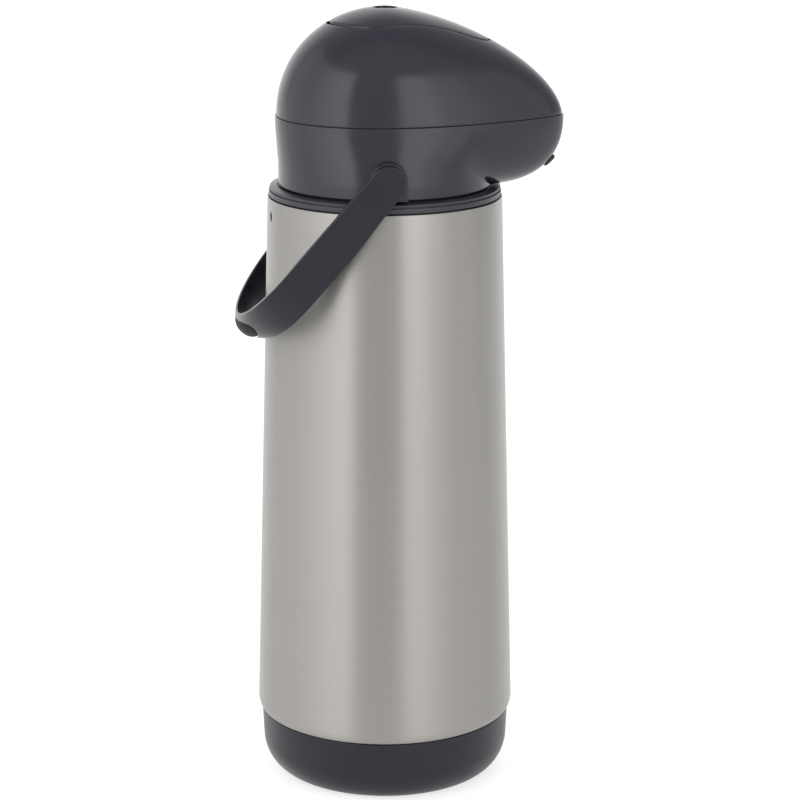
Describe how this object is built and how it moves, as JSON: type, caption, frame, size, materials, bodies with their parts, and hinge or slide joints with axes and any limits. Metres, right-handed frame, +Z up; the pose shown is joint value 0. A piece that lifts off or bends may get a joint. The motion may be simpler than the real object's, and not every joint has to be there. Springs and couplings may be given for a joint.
{
  "type": "airpot",
  "caption": "Thermal coffee airpot: tapered steel shell round a glass vacuum flask, press-pump head with beak spout, swinging bail handle and dark base cup.",
  "frame": {"origin": "centre of the base cup's flat underside, on the body's axis", "axes": "+Z up along the body, +X towards the spout, +Y across, along the handle pivots"},
  "size_m": [0.167, 0.134, 0.4008],
  "materials": {
    "head_gloss": "glossy",
    "satin_charcoal": "satin",
    "brushed_shell": "vertical-lit, brushed round the body",
    "flask_glass": "clear, silvered between the walls",
    "milky_plastic": "natural",
    "silicone": "matt, food grade",
    "black_rubber": "matt",
    "pin_steel": "bright"
  },
  "bodies": {
    "vessel": {"base_cup": "satin_charcoal", "bottom_ring": "satin_charcoal", "tail_cushion": "black_rubber", "steel_shell": "brushed_shell", "shoulder_collar": "satin_charcoal", "shell_pegs": "milky_plastic", "flask_outer": "flask_glass", "flask_inner": "flask_glass", "flask_neck": "flask_glass", "neck_sleeve": "silicone"},
    "seal": {"mouth_seal": "silicone"},
    "head": {"head_lower": "head_gloss", "head_upper": "head_gloss", "housing_screws": "pin_steel", "stopper": "milky_plastic", "dip_tube": "milky_plastic", "valve_housing": "milky_plastic", "outlet_tube": "silicone", "nozzle": "black_rubber", "bellows_seat": "milky_plastic", "bellows": "black_rubber", "return_spring": "pin_steel", "pad_hinge_pin": "pin_steel"},
    "pump": {"plunger": "milky_plastic", "air_valve": "black_rubber"},
    "pad": {"press_pad": "head_gloss", "pad_cap": "black_rubber"},
    "ball": {"check_ball": "pin_steel"},
    "bail": {"handle": "satin_charcoal"}
  },
  "joints": [
    {"name": "head_lift", "type": "slide", "parent": "vessel", "child": "seal", "axis": [0, 0, 1], "range_m": [0, 0.006]},
    {"name": "head_turn", "type": "hinge", "parent": "seal", "child": "head", "pos_m": [0, 0, 0.3], "axis": [0, 0, 1], "range_deg": [0, 540]},
    {"name": "pad_press", "type": "hinge", "parent": "head", "child": "pad", "pos_m": [0.0466, 0, 0.3805], "axis": [0, -1, 0], "range_deg": [0, 16], "stiffness_Nm_per_rad": 2, "springref_deg": -8.59},
    {"name": "plunger_slide", "type": "slide", "parent": "head", "child": "pump", "axis": [0, 0, -1], "range_m": [0, 0.0183], "deforming": ["bellows", "return_spring"]},
    {"name": "ball_lift", "type": "slide", "parent": "head", "child": "ball", "axis": [0, 0, 1], "range_m": [0, 0.004]},
    {"name": "handle_swing", "type": "hinge", "parent": "head", "child": "bail", "pos_m": [0, 0, 0.3227], "axis": [0, 1, 0], "range_deg": [0, 275]}
  ],
  "couplings": [
    {"joint": "head_lift", "follows": "head_turn", "m_per_rad": 0.00063662},
    {"joint": "plunger_slide", "follows": "pad_press", "m_per_rad": 0.0653}
  ]
}
